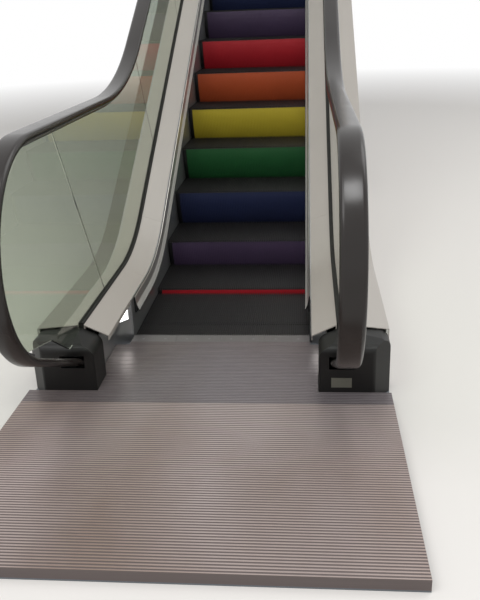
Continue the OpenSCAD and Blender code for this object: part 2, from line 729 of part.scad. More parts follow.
base_pan();
landing_plate_lower();
landing_plate_upper();
comb_plate_lower();
comb_plate_upper();
combs_lower();
combs_upper();
steps_red();
steps_violet();
steps_blue();
steps_green();
steps_yellow();
steps_orange();
skirt_left();
skirt_right();
brush_left();
brush_right();
inner_deck_left();
inner_deck_right();
outer_deck_left();
outer_deck_right();
glass_left();
glass_right();
glass_clamp_left();
glass_clamp_right();
handrail_left();
handrail_right();
handrail_guide_left();
handrail_guide_right();
inlet_lower_left();
inlet_lower_right();
inlet_upper_left();
inlet_upper_right();
comb_lights();
cladding_left();
cladding_right();
soffit();
truss_left();
truss_right();
truss_crossbeams();
step_tracks();
brackets_left();
brackets_right();
upper_bearing();
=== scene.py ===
# %% [markdown]
# An escalator between two floors, dressed around its packed construction model. The construction
# already gives every piece its place and size. These cells add the camera, the finishes and the
# small repeated pieces, and each one says why it is made the way it is.

# %% Load the construction model
import json
import math

import bpy
import numpy as np
from mathutils import Matrix, Vector


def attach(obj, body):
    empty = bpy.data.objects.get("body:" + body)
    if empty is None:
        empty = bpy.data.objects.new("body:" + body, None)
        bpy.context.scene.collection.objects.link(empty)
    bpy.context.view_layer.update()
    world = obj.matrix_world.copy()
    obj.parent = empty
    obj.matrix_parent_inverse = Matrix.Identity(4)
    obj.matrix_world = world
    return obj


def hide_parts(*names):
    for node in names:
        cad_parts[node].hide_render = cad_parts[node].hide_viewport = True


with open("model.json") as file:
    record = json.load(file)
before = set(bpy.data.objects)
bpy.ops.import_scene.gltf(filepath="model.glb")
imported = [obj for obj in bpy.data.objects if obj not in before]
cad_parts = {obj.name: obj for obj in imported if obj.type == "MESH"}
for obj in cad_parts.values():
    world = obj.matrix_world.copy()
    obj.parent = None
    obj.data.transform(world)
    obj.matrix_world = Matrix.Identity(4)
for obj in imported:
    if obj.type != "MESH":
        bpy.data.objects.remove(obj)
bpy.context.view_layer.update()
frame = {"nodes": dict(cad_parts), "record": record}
nodes = frame["nodes"]

# %% [markdown]
# The camera stands right of the middle, three metres before the comb line, and looks down on the
# landing. It could be placed by eye, but a fit to straight edges gives its place, its three angles
# in radians and the focal length in pixels. Blender wants millimetres on a sensor that belongs to
# the long side of the picture, so the focal length is converted.

# %% Camera
PICTURE_W, PICTURE_H = 480, 600
FOCAL_PX = 744.1
SENSOR_MM = 36.0
LOOK_DOWN = 0.3704
LOOK_RIGHT = -0.0985
LEAN = 0.0392
FLOOR_H = 0.040
EYE = (0.3957, -3.0765, 1.370 + FLOOR_H)


def aim(look_down, look_right, lean):
    """Right, up and back directions of a camera that looks along +Y, turned to the right about Z,
    tipped down, and then leant about its own line of sight."""
    forward = np.array([math.sin(look_right) * math.cos(look_down),
                        math.cos(look_right) * math.cos(look_down), -math.sin(look_down)])
    level = np.array([math.cos(look_right), -math.sin(look_right), 0.0])
    down = np.cross(forward, level)
    right = math.cos(lean) * level + math.sin(lean) * down
    up = math.sin(lean) * level - math.cos(lean) * down
    return right, up, -forward


camera = bpy.data.objects.new("camera", bpy.data.cameras.new("camera"))
bpy.context.scene.collection.objects.link(camera)
camera.data.sensor_width = SENSOR_MM
camera.data.lens = FOCAL_PX / max(PICTURE_W, PICTURE_H) * SENSOR_MM
camera.data.clip_start, camera.data.clip_end = 0.05, 100.0
turn = Matrix(np.column_stack(aim(LOOK_DOWN, LOOK_RIGHT, LEAN)).tolist()).to_4x4()
camera.matrix_world = Matrix.Translation(EYE) @ turn
bpy.context.scene.camera = camera
bpy.context.scene.view_settings.view_transform = "Standard"
print("lens", round(camera.data.lens, 2), "mm")

# %% [markdown]
# A finish is a small network of nodes. It could be wired by hand in the node editor, and in code
# it would be a long list of links. A few helpers let it be written as a formula instead. The first
# wraps one output socket and turns + - * / into Math nodes, also where a plain number comes first.

# %% A socket that takes part in arithmetic


class Value:
    """One output of a node that takes part in arithmetic."""

    def __init__(self, network, socket):
        self.network, self.socket = network, socket

    def maths(self, operation, *inputs):
        return self.network.node("ShaderNodeMath", {"operation": operation}, *inputs)

    def __add__(self, other):
        return self.maths("ADD", self, other)

    def __sub__(self, other):
        return self.maths("SUBTRACT", self, other)

    def __rsub__(self, other):
        return self.maths("SUBTRACT", other, self)

    def __mul__(self, other):
        return self.maths("MULTIPLY", self, other)

    def __truediv__(self, other):
        return self.maths("DIVIDE", self, other)

    def __rtruediv__(self, other):
        return self.maths("DIVIDE", other, self)

    __radd__, __rmul__ = __add__, __mul__

    def size(self):
        """The value without its sign."""
        return self.maths("ABSOLUTE", self)

    def lesser(self, other):
        """The smaller of two values."""
        return self.maths("MINIMUM", self, other)

    def clamp(self):
        """The value, held between 0 and 1."""
        return self.network.node("ShaderNodeClamp", {}, self, 0.0, 1.0)

    def step(self, edge, width):
        """0 below edge and 1 above edge + width, with a straight ramp between."""
        return ((self - edge) / width).clamp()


print("Value makes Math nodes of + - * /")

# %% [markdown]
# Colours are written the way a screen shows them, from 0 to 255. Blender adds up light, and on its
# scale a number twice as large is twice as much light, so each colour is converted first.

# %% Colours


def colour(red, green, blue):
    """Linear colour of a display colour. Its share of 255 is divided by 12.92 where it is dark, and
    elsewhere it is ((share + 0.055) / 1.055) to the power of 2.4."""
    share = np.array([red, green, blue]) / 255.0
    linear = np.where(share <= 0.04045, share / 12.92, ((share + 0.055) / 1.055) ** 2.4)
    return (*linear.tolist(), 1.0)


print("middle grey gives", round(colour(128, 128, 128)[0], 3), "of the light of white")

# %% [markdown]
# A material and the sky both end in one output node, so one class serves both. It makes a node of
# any kind in one call, tells kinds of rays apart, and ends the network in a mix of two shaders.

# %% Networks


class Network:
    """The nodes of a material or of the sky, which end in one output node."""

    def __init__(self, tree, end):
        self.tree, self.end = tree, tree.nodes[end]

    def node(self, kind, settings, *inputs, output=0):
        """A node of a kind, with its settings, then its inputs in order. None leaves one alone."""
        made = self.tree.nodes.new(kind)
        for name, value in settings.items():
            setattr(made, name, value)
        sockets = [s for s in made.inputs if s.enabled]
        for socket, value in zip(sockets, inputs):
            if isinstance(value, Value):
                self.tree.links.new(value.socket, socket)
            elif value is not None:
                socket.default_value = value
        outputs = [s for s in made.outputs if s.enabled]
        socket = outputs[output] if isinstance(output, int) else made.outputs[output]
        return Value(self, socket)

    def rays(self, *kinds):
        """1 for rays of the named kinds and 0 for all others."""
        found = [self.node("ShaderNodeLightPath", {}, output=f"Is {kind} Ray") for kind in kinds]
        return sum(found[1:], found[0]).clamp()

    def finish_with(self, factor, first, second):
        """Ends the network in a mix of two shaders."""
        both = self.node("ShaderNodeMixShader", {}, factor, first, second)
        self.tree.links.new(both.socket, self.end.inputs["Surface"])


print("Network makes nodes for materials and for the sky")

# %% [markdown]
# A finish is a network with one surface shader. What is the same all over is set on the shader's
# own sockets, and what changes over the surface is fed into them. Patterns read the coordinates of
# the object, so they stay in place on it from every side.

# %% Finishes
Y, Z = 1, 2


class Finish(Network):
    """A material with one surface shader. Settings that are the same all over go on its sockets."""

    def __init__(self, name, **constants):
        self.material = bpy.data.materials.new(name)
        self.material.use_nodes = True
        super().__init__(self.material.node_tree, "Material Output")
        self.shader = self.tree.nodes["Principled BSDF"]
        self.surface = Value(self, self.shader.outputs[0])
        for socket, value in constants.items():
            self.shader.inputs[socket.replace("_", " ")].default_value = value
        self.place = self.node("ShaderNodeTexCoord", {}, output="Object")

    def even(self, socket, rgb):
        """Gives a socket one display colour all over."""
        self.shader.inputs[socket].default_value = colour(*rgb)

    def feed(self, socket, value):
        self.tree.links.new(value.socket, self.shader.inputs[socket])

    def stretched(self, x, y, z):
        """Object coordinates multiplied along each axis, for grain that runs one way."""
        return self.node("ShaderNodeVectorMath", {"operation": "MULTIPLY"}, self.place, (x, y, z))

    def noise(self, where, scale, detail):
        """Cloudy values around 0.5, finer where scale is larger and richer with more detail."""
        return self.node("ShaderNodeTexNoise", {}, where, scale, detail)

    def mix(self, factor, first, second):
        """Colour between first and second."""
        return self.node("ShaderNodeMix", {"data_type": "RGBA"}, factor, first, second)

    def between(self, factor, rgb, darker):
        """A display colour where factor is 1, and a share of it where factor is 0."""
        return self.mix(factor, colour(*[darker * c for c in rgb]), colour(*rgb))

    def bump(self, height, depth):
        """Raises the surface by height times depth in metres, as seen by light only."""
        normal = self.node("ShaderNodeBump", {}, 1.0, depth, 1.0, height)
        self.feed("Normal", normal)

    def axis(self, which):
        """One coordinate of the place, Y or Z."""
        return self.node("ShaderNodeSeparateXYZ", {}, self.place, output=which)

    def facing(self, which):
        """One part of the direction that the surface faces, Y or Z."""
        normal = self.node("ShaderNodeNewGeometry", {}, output="Normal")
        return self.node("ShaderNodeSeparateXYZ", {}, normal, output=which)


print("Finish makes a material that reads object coordinates")

# %% [markdown]
# Every nosing follows one line: level at the comb, bent upwards, straight up the slope, bent back
# and level again. Skirts, decks and brushes run beside the same line. It could be drawn as a curve
# object, but as a function of the distance along it, it places any number of points at once. The
# slope angle grows evenly along the lower bend and falls evenly along the upper one, and its sine
# and cosine add up to height and way. The sizes are those of the construction.

# %% The line that the steps follow
RISE = 3.645
INCLINE = math.radians(30)
LOWER_BEND, UPPER_BEND = 1.200, 1.500
LEVEL_RUN = 0.320
STEP_LEVEL = 0.030
STEP_WIDTH, STEP_PITCH = 0.800, 0.405
FIRST_NOSING = 0.165

lower_tangent = LOWER_BEND * math.tan(INCLINE / 2)
upper_tangent = UPPER_BEND * math.tan(INCLINE / 2)
slope_length = RISE / math.sin(INCLINE) - lower_tangent - upper_tangent
foot_y = LEVEL_RUN + lower_tangent
head_y = foot_y + RISE / math.tan(INCLINE)
comb_y = head_y + upper_tangent + LEVEL_RUN
bend_start = LEVEL_RUN
slope_start = bend_start + LOWER_BEND * INCLINE
slope_end = slope_start + slope_length
bend_end = slope_end + UPPER_BEND * INCLINE
line_length = bend_end + LEVEL_RUN


def step_line(s):
    """Y, Z and slope angle at the distances s. On a bend of radius R the angle is distance / R,
    so the way is R sin(angle) and the height R (1 - cos(angle))."""
    s = np.asarray(s, float)
    up = np.clip(s - bend_start, 0, slope_start - bend_start) / LOWER_BEND
    straight = np.clip(s - slope_start, 0, slope_length)
    down = INCLINE - np.clip(s - slope_end, 0, bend_end - slope_end) / UPPER_BEND
    y = (np.minimum(s, bend_start) + LOWER_BEND * np.sin(up) + straight * math.cos(INCLINE)
         + UPPER_BEND * (math.sin(INCLINE) - np.sin(down)) + np.maximum(s - bend_end, 0))
    z = (STEP_LEVEL + LOWER_BEND * (1 - np.cos(up)) + straight * math.sin(INCLINE)
         + UPPER_BEND * (np.cos(down) - math.cos(INCLINE)))
    return y, z, np.where(s < slope_end, up, down)


def along_line(s, x, height):
    """Points at the distances s along the step line, x metres across and height metres square to
    it: (x, y - height sin(angle), z + height cos(angle))."""
    y, z, angle = step_line(s)
    return np.stack(np.broadcast_arrays(x, y - height * np.sin(angle), z + height * np.cos(angle)), -1)


# %% [markdown]
# All new pieces are grids of points. A grid becomes a mesh by joining each point with its right
# and upper neighbours, and where the shape closes on itself the last row joins the first. A bar is
# a grid that closes round its section, with a flat face at both ends. Several grids of one kind,
# such as all bristles, go into one mesh, because thousands of small objects would be slow.

# %% Faces of grids and bars


def grid_faces(rows, columns, close_rows, close_columns):
    """Four corners of every cell of a grid whose points are numbered row by row."""
    r = np.arange(rows if close_rows else rows - 1)[:, None]
    c = np.arange(columns if close_columns else columns - 1)[None, :]
    r2, c2 = (r + 1) % rows, (c + 1) % columns
    corners = [r * columns + c, r * columns + c2, r2 * columns + c2, r2 * columns + c]
    return np.stack(corners, -1).reshape(-1, 4)


def many(points, faces):
    """Faces of n equal pieces whose points are an array of n sets."""
    count, each = points.shape[0], points.shape[1]
    return (faces[None] + each * np.arange(count)[:, None, None]).reshape(-1, faces.shape[-1])


def bar(rings):
    """Points and faces of a bar from its rings, with both ends closed by one face each. The faces
    point outwards where the rings turn to the left, seen from the end that the bar stops at."""
    count, each = rings.shape[0], rings.shape[1]
    faces = grid_faces(count, each, False, True).tolist()
    first, last = list(range(each)), list(range((count - 1) * each, count * each))
    return rings.reshape(-1, 3), faces + [first[::-1], last]


print("a grid of 3 by 3 points has", len(grid_faces(3, 3, False, False)), "faces")

# %% [markdown]
# The two sides of the machine are mirror images, so most pieces are worked out for the right side
# and mirrored. A negative scale would do that too, but a finished object sits at the origin,
# unturned and unscaled, so the points themselves are mirrored. Mirroring turns a mesh inside out,
# and its normals are turned back.

# %% Pieces and pairs


def piece(name, points, faces, slot, finish, smooth=False, turned=False):
    """An object at the origin from points in metres and faces, riding on the only body. A mirrored
    piece is turned back, so that its faces point outwards again."""
    corners = faces.tolist() if isinstance(faces, np.ndarray) else faces
    mesh = bpy.data.meshes.new(name)
    mesh.from_pydata(points.reshape(-1, 3).tolist(), [], corners)
    mesh.polygons.foreach_set("use_smooth", np.full(len(mesh.polygons), smooth))
    mesh.update()
    if turned:
        mesh.flip_normals()
    made = bpy.data.objects.new(name, mesh)
    bpy.context.scene.collection.objects.link(made)
    mesh.materials.append(finish)
    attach(made, "root")
    return made


def pair(name, points, faces, slot, finish, smooth=False):
    """A piece of the right side and its mirror image on the left."""
    return [piece(name + "_right", points, faces, slot, finish, smooth),
            piece(name + "_left", points * (-1, 1, 1), faces, slot, finish, smooth, turned=True)]


print("pieces so far", len(nodes))

# %% [markdown]
# The finishes follow, one small function for each kind of surface. Each goes into LOOKS under the
# slot name that the construction gives to its nodes. The floor plates are extruded aluminium with
# fine ridges across the way, lighter on the crests and darker in the grooves. An image could show
# that, but the ridges are real geometry, so their height alone tells crest from groove. Slow noise
# paints brown patches of shade on the crests, which stand in for uneven light on the plates, and
# noise stretched along the ridges makes the grain. Combs are die-cast, and their grain runs along the
# way.

# %% Floor plates and combs
RIDGE_H = 0.0015
BROWN_SHADE_SHARES = (0.82, 0.77, 0.72)
LOOKS = {}


def ridged_plate(name, crest, groove, rough):
    """Aluminium whose crests lie at the two floor levels. The depth below the nearer level, from a
    quarter to three quarters of a ridge, turns crest into groove."""
    finish = Finish(name, Metallic=0.5)
    z = finish.axis(Z)
    depth = (z - FLOOR_H).size().lesser((z - (FLOOR_H + RISE)).size())
    low = depth.step(edge=0.25 * RIDGE_H, width=0.5 * RIDGE_H)
    clouds = finish.noise(finish.stretched(1.0, 0.6, 1.0), scale=1.3, detail=4.0)
    brown = [share * c for share, c in zip(BROWN_SHADE_SHARES, crest)]
    # Brown patches on the crests are painted shade, standing in for uneven light on the plates.
    painted_shade_patches = finish.mix(clouds.step(edge=0.36, width=0.28), colour(*brown), colour(*crest))
    grain = finish.noise(finish.stretched(1.5, 420.0, 420.0), scale=2.0, detail=2.0)
    finish.feed("Base Color", finish.mix(low, painted_shade_patches, finish.between(grain, groove, darker=0.86)))
    finish.feed("Roughness", rough + 0.16 * grain + 0.12 * low)
    return finish.material


def cast_metal(name, rgb):
    """Die-cast aluminium with fine grain along the way."""
    finish = Finish(name, Metallic=0.7)
    grain = finish.noise(finish.stretched(260.0, 12.0, 30.0), scale=1.0, detail=3.0)
    finish.feed("Base Color", finish.between(grain, rgb, darker=0.82))
    finish.feed("Roughness", 0.30 + 0.2 * grain)
    return finish.material


LOOKS["landing_plate"] = ridged_plate("ridged_plate", (182, 169, 166), (112, 102, 100), rough=0.34)
LOOKS["comb_plate"] = ridged_plate("comb_plate", (138, 131, 134), (94, 88, 90), rough=0.20)
LOOKS["comb"] = cast_metal("cast_comb", (138, 134, 134))
print("finishes", *LOOKS)

# %% [markdown]
# A step is one casting, painted black, and the tops of its cleats are rubbed to a dull grey. The
# tops could be given a material of their own, but only they look up, so the direction of the face
# tells paint from wear. The riser carries a film in the colour of its place in a cycle, and the
# colours are listed in that order. The film is a piece of its own further below, and here it gets
# its dye and a soft gloss.

# %% Steps
RISER_COLOURS = {
    "orange": (190, 84, 44), "red": (184, 32, 44), "violet": (74, 58, 86),
    "blue": (34, 42, 78), "green": (32, 92, 48), "yellow": (196, 176, 52),
}


def cast_step(name):
    """Black paint, rubbed off the cleats in streaks along the way."""
    finish = Finish(name, Metallic=0.1)
    rubbed = finish.facing(Z).step(edge=0.8, width=0.1)
    scuff = finish.noise(finish.stretched(30.0, 4.0, 4.0), scale=1.0, detail=4.0)
    finish.feed("Base Color", finish.mix(rubbed * scuff, colour(13, 12, 12), colour(48, 45, 46)))
    finish.feed("Roughness", 0.42 + 0.15 * scuff)
    return finish.material


def riser_film(name, rgb):
    """Printed film with a soft gloss, dyed a little unevenly."""
    finish = Finish(name, Metallic=0.1)
    fade = finish.noise(finish.place, scale=3.0, detail=3.0)
    finish.feed("Base Color", finish.between(fade, rgb, darker=0.86))
    finish.feed("Roughness", 0.38 + 0.1 * fade)
    return finish.material


step_paint = cast_step("step_paint")
for name in RISER_COLOURS:
    LOOKS["step_" + name] = step_paint
films = {name: riser_film("film_" + name, rgb) for name, rgb in RISER_COLOURS.items()}
print("films", *films)

# %% [markdown]
# Skirts are stainless sheet, brushed along the way that the steps run. An image of scratches would
# need coordinates of its own, but grain is also noise that changes fast across and hardly along.
# On the slope the two directions are turned by the incline. Decks and panels are powder-coated,
# which leaves a faint orange peel, and slow stains keep them from looking like plastic.

# %% Skirts, decks and panels


def brushed_steel(name, rgb):
    """Sheet with grain along the slope. Across the grain is z cos(incline) - y sin(incline), and
    along it is y cos(incline) + z sin(incline)."""
    finish = Finish(name, Metallic=0.85)
    across = math.cos(INCLINE) * finish.axis(Z) - math.sin(INCLINE) * finish.axis(Y)
    along = math.cos(INCLINE) * finish.axis(Y) + math.sin(INCLINE) * finish.axis(Z)
    where = finish.node("ShaderNodeCombineXYZ", {}, 900.0 * across, 6.0 * along, 0.0)
    grain = finish.noise(where, scale=1.0, detail=2.0)
    finish.feed("Base Color", finish.between(grain, rgb, darker=0.88))
    finish.feed("Roughness", 0.24 + 0.14 * grain)
    return finish.material


def painted_sheet(name, rgb, rough, metallic=0.0):
    """Powder coat: nearly even, with a faint orange peel and slow stains."""
    finish = Finish(name, Metallic=metallic, Roughness=rough)
    stain = finish.noise(finish.stretched(1.2, 0.8, 1.2), scale=1.6, detail=3.0)
    finish.feed("Base Color", finish.between(stain, rgb, darker=0.93))
    finish.bump(finish.noise(finish.place, scale=450.0, detail=1.0), depth=0.00015)
    return finish.material


LOOKS["skirt"] = brushed_steel("skirt_steel", (190, 190, 192))
LOOKS["handrail_guide"] = brushed_steel("guide_steel", (125, 125, 128))
LOOKS["deck"] = painted_sheet("deck_coat", (175, 167, 161), rough=0.34)
LOOKS["cladding"] = painted_sheet("panel_coat", (205, 203, 198), rough=0.38)
LOOKS["structure"] = painted_sheet("steel_primer", (105, 110, 115), rough=0.6)
print("finishes so far", len(LOOKS))

# %% [markdown]
# Belt, gasket, brushes and inlets are all nearly black, and only their gloss tells them apart: the
# belt is polished, the moulded inlets have a fine texture, and rubber is dull. One function with a
# few settings serves them all. The lamps at the comb glow by themselves, as their lens would need
# a lamp inside otherwise. The panels of the balustrade are glass.

# %% Rubber, plastic, light and glass
DUST = 9


def black_rubber(name, rgb, rough, texture=0.0):
    """Rubber or plastic with some dust, and a fine texture where one is asked for."""
    finish = Finish(name, Specular_IOR_Level=0.35)
    dust = finish.noise(finish.place, scale=9.0, detail=4.0)
    dusty = [c + DUST for c in rgb]
    finish.feed("Base Color", finish.mix(dust, colour(*rgb), colour(*dusty)))
    finish.feed("Roughness", rough + 0.12 * dust)
    if texture:
        finish.bump(finish.noise(finish.place, scale=900.0, detail=2.0), depth=texture)
    return finish.material


def lit_lens(name, rgb, strength):
    """A lens that glows by itself."""
    finish = Finish(name, Roughness=0.3, Emission_Strength=strength)
    finish.even("Base Color", rgb)
    finish.even("Emission Color", rgb)
    return finish.material


def clear_glass(name, rgb, shade):
    """Toughened glass, faintly green. It is a real pane with two faces, so light bends twice. A
    bent path seldom finds a lamp, so shadow rays pass straight through, tinted by the shade."""
    finish = Finish(name, Roughness=0.0, IOR=1.5, Transmission_Weight=1.0)
    finish.even("Base Color", rgb)
    passing = finish.node("ShaderNodeBsdfTransparent", {}, colour(*shade))
    finish.finish_with(finish.rays("Shadow"), finish.surface, passing)
    return finish.material


LOOKS["brush"] = black_rubber("brush_bristle", (13, 12, 12), rough=0.8)
LOOKS["glass_clamp"] = black_rubber("black_gasket", (20, 18, 16), rough=0.6)
LOOKS["handrail"] = black_rubber("belt_rubber", (32, 28, 26), rough=0.18)
LOOKS["inlet"] = black_rubber("inlet_moulding", (8, 7, 6), rough=0.42, texture=0.0002)
LOOKS["comb_light"] = lit_lens("light_lens", (255, 255, 250), strength=5.0)
LOOKS["glass"] = clear_glass("tinted_glass", (201, 210, 194), shade=(236, 240, 235))
print("finishes so far", len(LOOKS))

# %% [markdown]
# Each node of the construction names a slot, and every slot now has its finish. A finish could be
# chosen by the name of each node, but a slot serves all nodes of one stuff at once. The finish
# takes the place of whatever material the node came with.

# %% Finishes on the construction
slots_of = {entry["node"]: entry["material_slot"] for entry in frame["record"]["subparts"]}
for name, node_object in nodes.items():
    node_object.data.materials.clear()
    node_object.data.materials.append(LOOKS[slots_of[name]])
print("dressed nodes", len(slots_of))

# %% [markdown]
# Each handrail is one closed loop: over the landing, along the slope, round the newel, into the
# inlet and back below the steps. A curve object could follow it, but the loop is only arcs with
# straight stretches between, so it is a list of arcs that straight lines join up. An arc needs its
# centre, its radius and two angles. The upper end is the lower one, mirrored and lifted.

# %% The loop of a handrail
RAIL_T = 0.030
RAIL_H = 1.035
RAIL_BEND = 1.500
RAIL_SHIFT = 0.010
NEWEL_REACH, NEWEL_R = 1.145, 0.375
INLET_SLOPE = math.radians(26)
RETURN_H, RETURN_R = 0.055, 0.400
NEWEL_RINGS, INLET_RINGS, RETURN_RINGS, BEND_RINGS = 72, 8, 12, 16

quarter = math.pi / 2
rail_z0 = FLOOR_H + RAIL_H - RAIL_T / 2
newel_centre = np.array([-NEWEL_REACH + NEWEL_R + RAIL_T / 2, rail_z0 - NEWEL_R])
rail_slope = math.atan2(RISE, head_y - foot_y - 2 * RAIL_SHIFT)
rail_tangent = RAIL_BEND * math.tan(rail_slope / 2)
low_centre = np.array([foot_y + RAIL_SHIFT - rail_tangent, rail_z0 + RAIL_BEND])
high_centre = np.array([head_y - RAIL_SHIFT + rail_tangent, rail_z0 + RISE - RAIL_BEND])
lower_centre = np.array([LEVEL_RUN, STEP_LEVEL + LOWER_BEND])
upper_centre = np.array([comb_y - LEVEL_RUN, STEP_LEVEL + RISE - UPPER_BEND])


def bend(centre, radius, start, stop, count, side=1):
    """Rings (y, z, outward y, outward z) of an arc in radians: centre + radius (cos, sin). Outward
    is away from the centre where side is 1, and towards it where side is -1."""
    a = np.linspace(start, stop, count)
    out = np.stack([np.cos(a), np.sin(a)], -1)
    return np.hstack([centre + radius * out, side * out])


newel = bend(newel_centre, NEWEL_R, quarter, 3 * quarter - INLET_SLOPE, NEWEL_RINGS)
foot_of_newel_y, foot_of_newel_z = newel[-1, :2]
ramp_drop = foot_of_newel_z - STEP_LEVEL - RETURN_H - RETURN_R * (1 - math.cos(INLET_SLOPE))
level_y = foot_of_newel_y + ramp_drop / math.tan(INLET_SLOPE) + RETURN_R * math.sin(INLET_SLOPE)
level_centre = np.array([level_y, STEP_LEVEL + RETURN_H + RETURN_R])
lower_end = np.vstack([
    newel, bend(level_centre, RETURN_R, -quarter - INLET_SLOPE, -quarter, INLET_RINGS)])
upper_end = (lower_end * (-1, 1, -1, 1) + (comb_y, RISE, 0, 0))[::-1]
loop = np.vstack([
    lower_end,
    bend(lower_centre, LOWER_BEND - RETURN_H, -quarter, INCLINE - quarter, RETURN_RINGS),
    bend(upper_centre, UPPER_BEND + RETURN_H, quarter + INCLINE, quarter, RETURN_RINGS, -1),
    upper_end,
    bend(high_centre, RAIL_BEND, quarter, quarter + rail_slope, BEND_RINGS),
    bend(low_centre, RAIL_BEND, rail_slope - quarter, -quarter, BEND_RINGS, -1)])
print("rings of the loop", len(loop))

# %% [markdown]
# The belt has a C-shaped section that grips its guide. The construction keeps it coarse to save
# facets. A bevelled curve could show a finer one, but its rings may twist at the bends, so the
# section is carried round the loop as a grid. Each ring is laid out along the direction that faces
# away from the loop. The smooth belt then stands for the construction's belt.

# %% Handrail belts
RAIL_X, RAIL_W = 0.520, 0.080
BELT_WALL, BELT_LIP = 0.008, 0.014
SHOULDER_POINTS = 12


def belt_section():
    """Outline of the C in (across, outward): two round shoulders, then the slot for the guide."""
    r, half = RAIL_T / 2, RAIL_W / 2
    a = np.linspace(-quarter, quarter, SHOULDER_POINTS)
    right = np.stack([half - r + r * np.cos(a), r * np.sin(a)], -1)
    left = right[::-1] * (-1, 1)
    wall, mouth = BELT_WALL, half - r - BELT_LIP
    slot = np.array([[-mouth, -r], [-mouth, wall - r], [wall - half, wall - r], [wall - half, r - wall],
                     [half - wall, r - wall], [half - wall, wall - r], [mouth, wall - r], [mouth, -r]])
    return np.vstack([right, left, slot])


section = belt_section()
across = np.broadcast_to(RAIL_X + section[:, 0], (len(loop), len(section)))
belt_y = loop[:, 0:1] + loop[:, 2:3] * section[:, 1]
belt_z = loop[:, 1:2] + loop[:, 3:4] * section[:, 1]
belt_points = np.stack([across, belt_y, belt_z], -1).reshape(-1, 3)
belt_faces = grid_faces(len(loop), len(section), True, True)
for belt in pair("belt", belt_points, belt_faces, "handrail", LOOKS["handrail"], smooth=True):
    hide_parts(belt.name.replace("belt", "handrail"))
print("faces of each belt", len(belt_faces))

# %% [markdown]
# A riser is fluted like the tread, so that it meshes with the edge of the tread below. A bump
# would show ribs to the light only and leave the outline smooth, so they are geometry. Each
# riser is an arc about the nosing of the next step, swept over the width, and its radius grows by
# the height of a rib where there is one. It is laid on the plain riser of the construction. The
# steps at the comb run level, so riser 0 shows nothing and is left out.

# %% Fluted risers
GROOVES, RIBS = 80, 76
RIB_H, RIB_LIFT = 0.0014, 0.0003
RIB_SHIFT = 0.15
RIB_PROFILE = np.array([[0.08, 0], [0.16, 1], [0.54, 1], [0.62, 0]])
FACE_TOP = 0.010
FACE_FOOT = math.radians(31.5)
LIP_Z = 0.006
ROWS = 9

rib_pitch = STEP_WIDTH / GROOVES
rib_places = np.arange(RIBS)[:, None] - RIBS / 2 + RIB_SHIFT + RIB_PROFILE[:, 0]
rib_x = (rib_pitch * rib_places).reshape(-1)
rib_up = np.tile(RIB_PROFILE[:, 1] * RIB_H, RIBS)
nosing_count = int((line_length - FIRST_NOSING) // STEP_PITCH) + 1


def fluted_riser(k):
    """Grid of riser k: rows down the arc, columns over the width. At the angle t below the
    nosing the point lies (radius + rib) from the nosing of the next step."""
    y, z, _ = step_line(FIRST_NOSING + k * STEP_PITCH)
    deepest = min(FACE_FOOT, math.asin(min(1.0, (z - LIP_Z) / STEP_PITCH)))
    t = np.linspace(math.asin(FACE_TOP / STEP_PITCH), deepest, ROWS)[:, None]
    radius = STEP_PITCH + RIB_LIFT + rib_up[None, :]
    return np.stack([np.broadcast_to(rib_x, (ROWS, len(rib_x))),
                     y + STEP_PITCH - radius * np.cos(t), z - radius * np.sin(t)], -1)


one_riser = grid_faces(ROWS, len(rib_x), False, False)[:, ::-1]
for place, name in enumerate(RISER_COLOURS):
    numbers = range(place if place else len(RISER_COLOURS), nosing_count, len(RISER_COLOURS))
    grids = np.stack([fluted_riser(k) for k in numbers]).reshape(len(numbers), -1, 3)
    piece("fluting_" + name, grids, many(grids, one_riser), "step_" + name, films[name])
print("risers", nosing_count - 1, "with", RIBS, "ribs each")

# %% [markdown]
# Brushes keep things away from the gap beside the steps. A hair system would make the bristles
# too, but the export wants meshes, and a loose edge takes thousands, so each one is only a thin
# three-sided spike. Its foot sits in the holder, its tip hangs over the steps, and both are moved
# a little at random, always in the same way because the seed is fixed.

# %% Brushes
SKIRT_FACE_X = 0.403
BRUSH_H = 0.101
HOLDER_ENDS = 0.055
BRISTLE_STEP = 0.0035
BRISTLE_FOOT = (SKIRT_FACE_X - 0.0140, BRUSH_H + 0.022)
BRISTLE_TIP = (SKIRT_FACE_X - 0.0255, BRUSH_H + 0.004)
BRISTLE_HALF = 0.0011
FOOT_STRAY, TIP_STRAY, TIP_LEAN = 0.001, 0.0009, 0.0015
SPIKE_FACES = np.array([[0, 1, 3], [1, 2, 3], [2, 0, 3]])
SEED = 7


def bristles(rng):
    """Four corners of each spike: three at its foot in the holder, and a tip that strays."""
    s = np.arange(HOLDER_ENDS, line_length - HOLDER_ENDS, BRISTLE_STEP)
    s = s + rng.uniform(-FOOT_STRAY, FOOT_STRAY, len(s))
    w = BRISTLE_HALF
    x, h = BRISTLE_FOOT
    tip_x, tip_h = rng.normal(BRISTLE_TIP, TIP_STRAY, (len(s), 2)).T
    return np.stack([along_line(s - w, x, h + w), along_line(s + w, x, h + w),
                     along_line(s, x - w, h - w),
                     along_line(s + rng.normal(0, TIP_LEAN, len(s)), tip_x, tip_h)], 1)


spikes = bristles(np.random.default_rng(SEED))
pair("bristles", spikes.reshape(-1, 3), many(spikes, SPIKE_FACES), "brush", LOOKS["brush"])
print("bristles on each side", len(spikes))

# %% [markdown]
# The bristles hang from a slim aluminium profile, which stops short of the combs. Its slanted
# face catches the light all the way along the dark skirt, and a steel band closes the holder
# above it. Each is a closed section, carried along the step line, with a flat end at both sides.
# Only the bends need many rings, because a ring in the middle of a straight run changes nothing.

# %% Brush profiles
PROFILE = np.array([[-0.0100, 0.0385], [-0.0190, 0.0095], [-0.0225, 0.0105], [-0.0122, 0.0390],
                    [-0.0100, 0.0405]])
BAND = np.array([[-0.0100, 0.0395], [-0.0122, 0.0395], [-0.0058, 0.0728], [-0.0030, 0.0745]])
LOWER_RINGS, UPPER_RINGS = 24, 20

